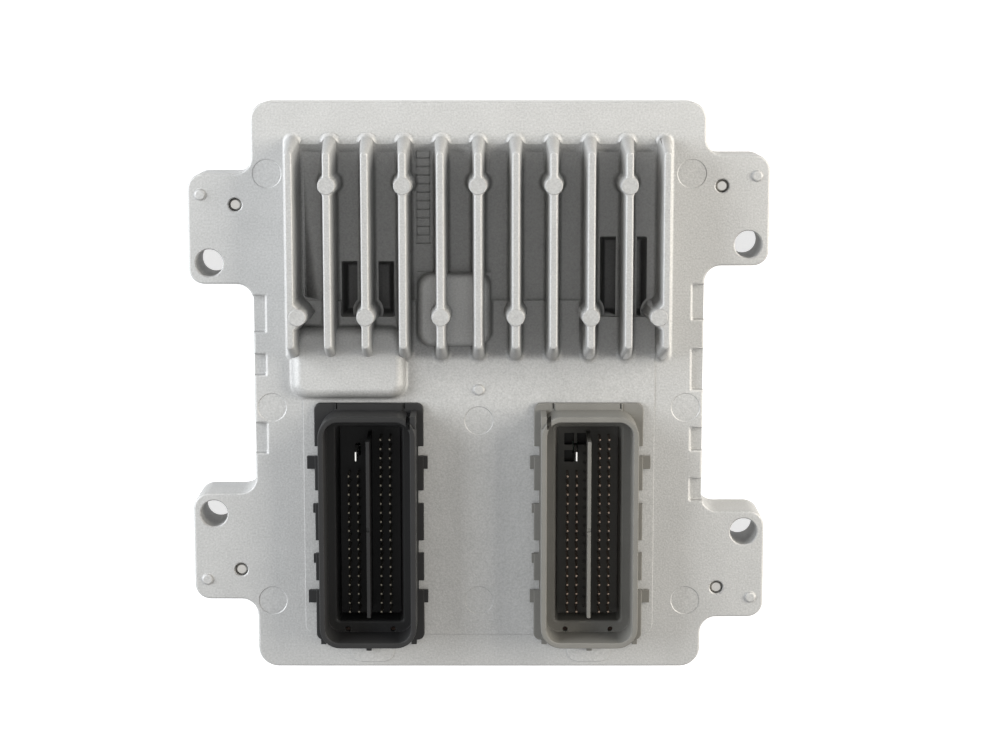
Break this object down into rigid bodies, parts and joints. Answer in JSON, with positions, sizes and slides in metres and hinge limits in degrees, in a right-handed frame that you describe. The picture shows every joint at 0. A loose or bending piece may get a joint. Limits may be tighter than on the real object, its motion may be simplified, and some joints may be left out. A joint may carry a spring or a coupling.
{
  "type": "engine control unit",
  "caption": "Sealed control unit: die-cast housing with cooling fins and bolt ears, flat back cover, circuit board inside, and two open pin headers on its face.",
  "frame": {"origin": "middle of the underside, in the plane of the ears' backs", "axes": "+X across the cooling fins, from the black header to the grey header; +Y along the fins, from the headers to the fins; +Z out of the face that the plugs enter"},
  "size_m": [0.157, 0.156, 0.0307],
  "materials": {
    "cast_aluminium": "shot-blasted die casting, matte and finely speckled",
    "sheet_aluminium": "rolled sheet, satin",
    "screw_steel": "zinc-plated, satin",
    "black_plastic": "glass-filled moulding, fine matte",
    "grey_plastic": "glass-filled moulding, fine matte",
    "contact_metal": "tin-plated, satin",
    "seal_rubber": "matte silicone",
    "board_laminate": "solder-masked laminate",
    "chip_epoxy": "moulded epoxy",
    "can_aluminium": "drawn can, satin",
    "thermal_pad": "soft silicone pad"
  },
  "bodies": {
    "root": {"front_housing": "cast_aluminium", "back_cover": "sheet_aluminium", "cover_seal": "seal_rubber", "cover_screw_1": "screw_steel", "cover_screw_2": "screw_steel", "cover_screw_3": "screw_steel", "cover_screw_4": "screw_steel", "circuit_board": "board_laminate", "board_screw_1": "screw_steel", "board_screw_2": "screw_steel", "board_screw_3": "screw_steel", "board_screw_4": "screw_steel", "black_header": "black_plastic", "grey_header": "grey_plastic", "black_header_seal": "seal_rubber", "grey_header_seal": "seal_rubber", "black_ground_blade": "contact_metal", "grey_ground_blade": "contact_metal", "microcontroller": "chip_epoxy", "memory_chip": "chip_epoxy", "supply_chip": "chip_epoxy", "throttle_driver": "chip_epoxy", "injector_driver": "chip_epoxy", "ignition_driver": "chip_epoxy", "thermal_pad_left": "thermal_pad", "thermal_pad_right": "thermal_pad", "crystal": "can_aluminium", "capacitor_1": "can_aluminium", "capacitor_2": "can_aluminium", "capacitor_3": "can_aluminium", "inductor": "chip_epoxy"}
  },
  "joints": []
}
